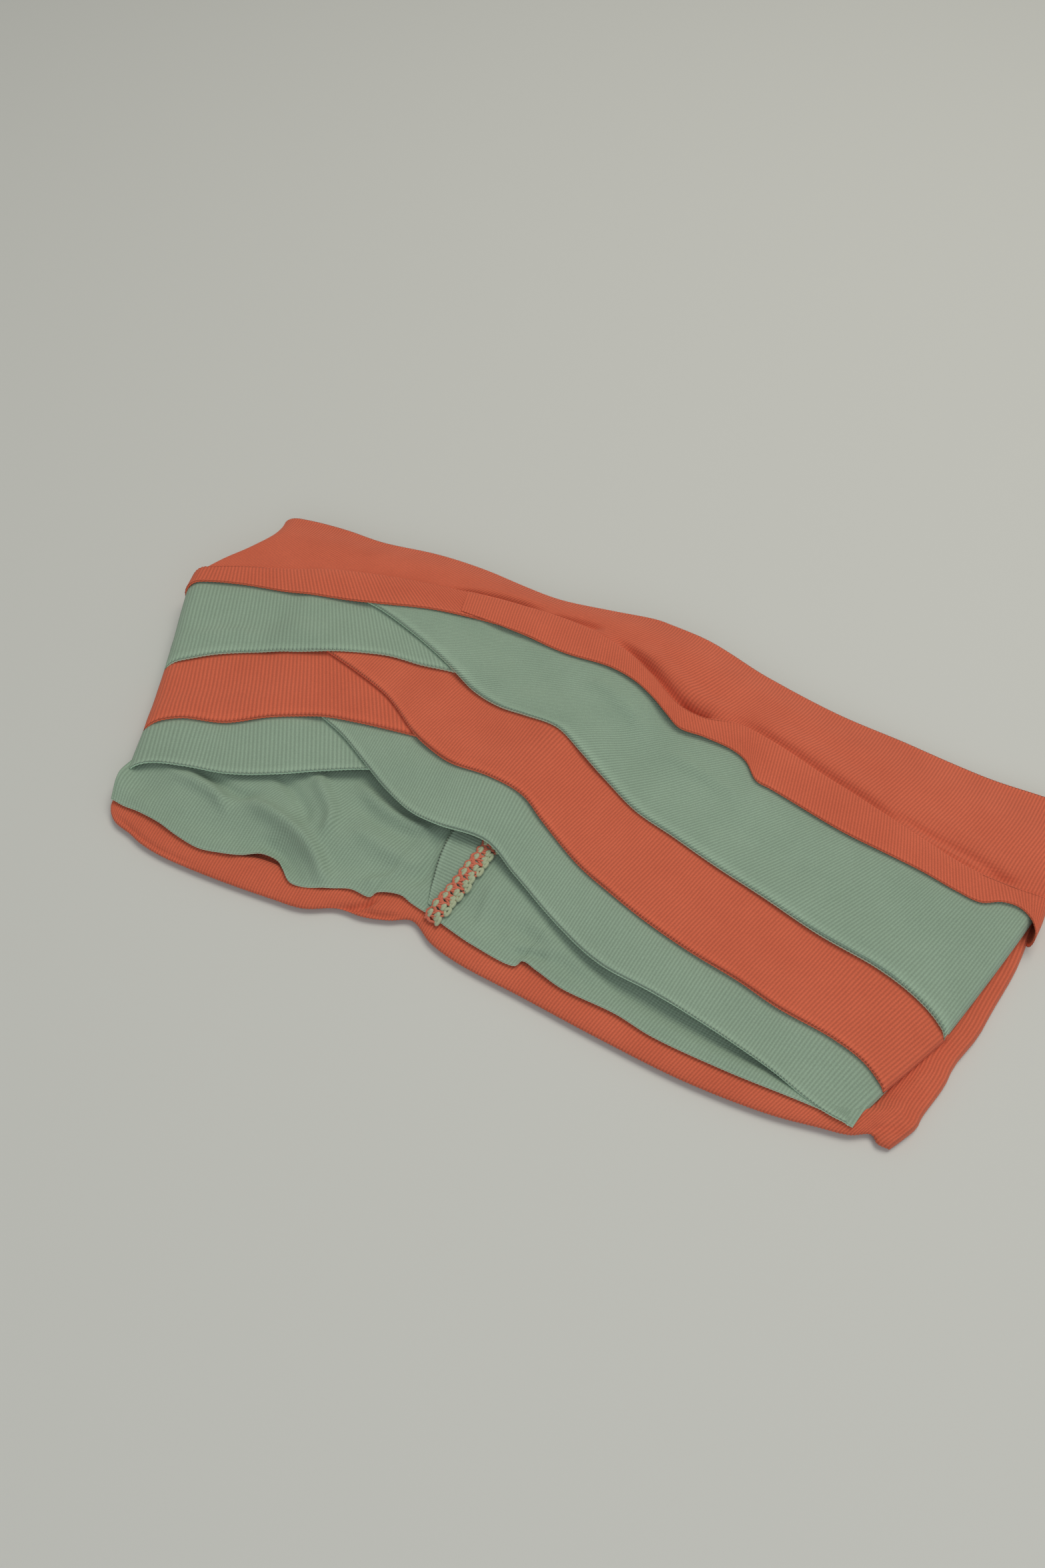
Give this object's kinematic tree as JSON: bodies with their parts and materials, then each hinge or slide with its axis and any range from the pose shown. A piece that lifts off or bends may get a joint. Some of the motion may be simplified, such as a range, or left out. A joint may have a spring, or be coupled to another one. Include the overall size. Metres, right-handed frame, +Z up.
{
  "type": "sports headband",
  "caption": "Wide stretch headband of folded jersey strips in two colours, crossed like a chevron on the front, lying flat with its loop closed.",
  "frame": {"origin": "on the table, under the middle of the flattened band's box", "axes": "+X along the band, from the fold where four strips start to the fold where the long strips end; +Y from the open near rim to the far rim; +Z up from the table"},
  "size_m": [0.298, 0.141, 0.0185],
  "materials": {
    "coral_jersey": "matt ribbed jersey",
    "mint_jersey": "matt ribbed jersey",
    "mint_lining": "matt fine jersey",
    "mint_thread": "soft overlock thread",
    "coral_thread": "soft overlock thread"
  },
  "bodies": {
    "root": {"back_outer_panel": "coral_jersey", "lining_back_left": "mint_lining", "lining_back_right": "mint_lining", "lining_front": "mint_lining", "crown_panel": "coral_jersey", "crown_panel_left_fold": "coral_jersey", "crown_panel_right_fold": "coral_jersey", "left_strip_1": "coral_jersey", "left_strip_1_left_fold": "coral_jersey", "left_strip_2": "mint_jersey", "left_strip_2_left_fold": "mint_jersey", "left_strip_3": "coral_jersey", "left_strip_3_left_fold": "coral_jersey", "left_strip_4": "mint_jersey", "left_strip_4_left_fold": "mint_jersey", "right_strip_1": "coral_jersey", "right_strip_1_right_fold": "coral_jersey", "right_strip_2": "mint_jersey", "right_strip_2_right_fold": "mint_jersey", "right_strip_3": "coral_jersey", "right_strip_3_right_fold": "coral_jersey", "right_strip_4": "mint_jersey", "right_strip_4_right_fold": "mint_jersey", "left_side_seam": "mint_thread", "right_side_seam": "mint_thread", "back_seam_allowance": "mint_lining", "back_seam_coral_thread": "coral_thread", "back_seam_mint_thread": "mint_thread"}
  },
  "joints": []
}
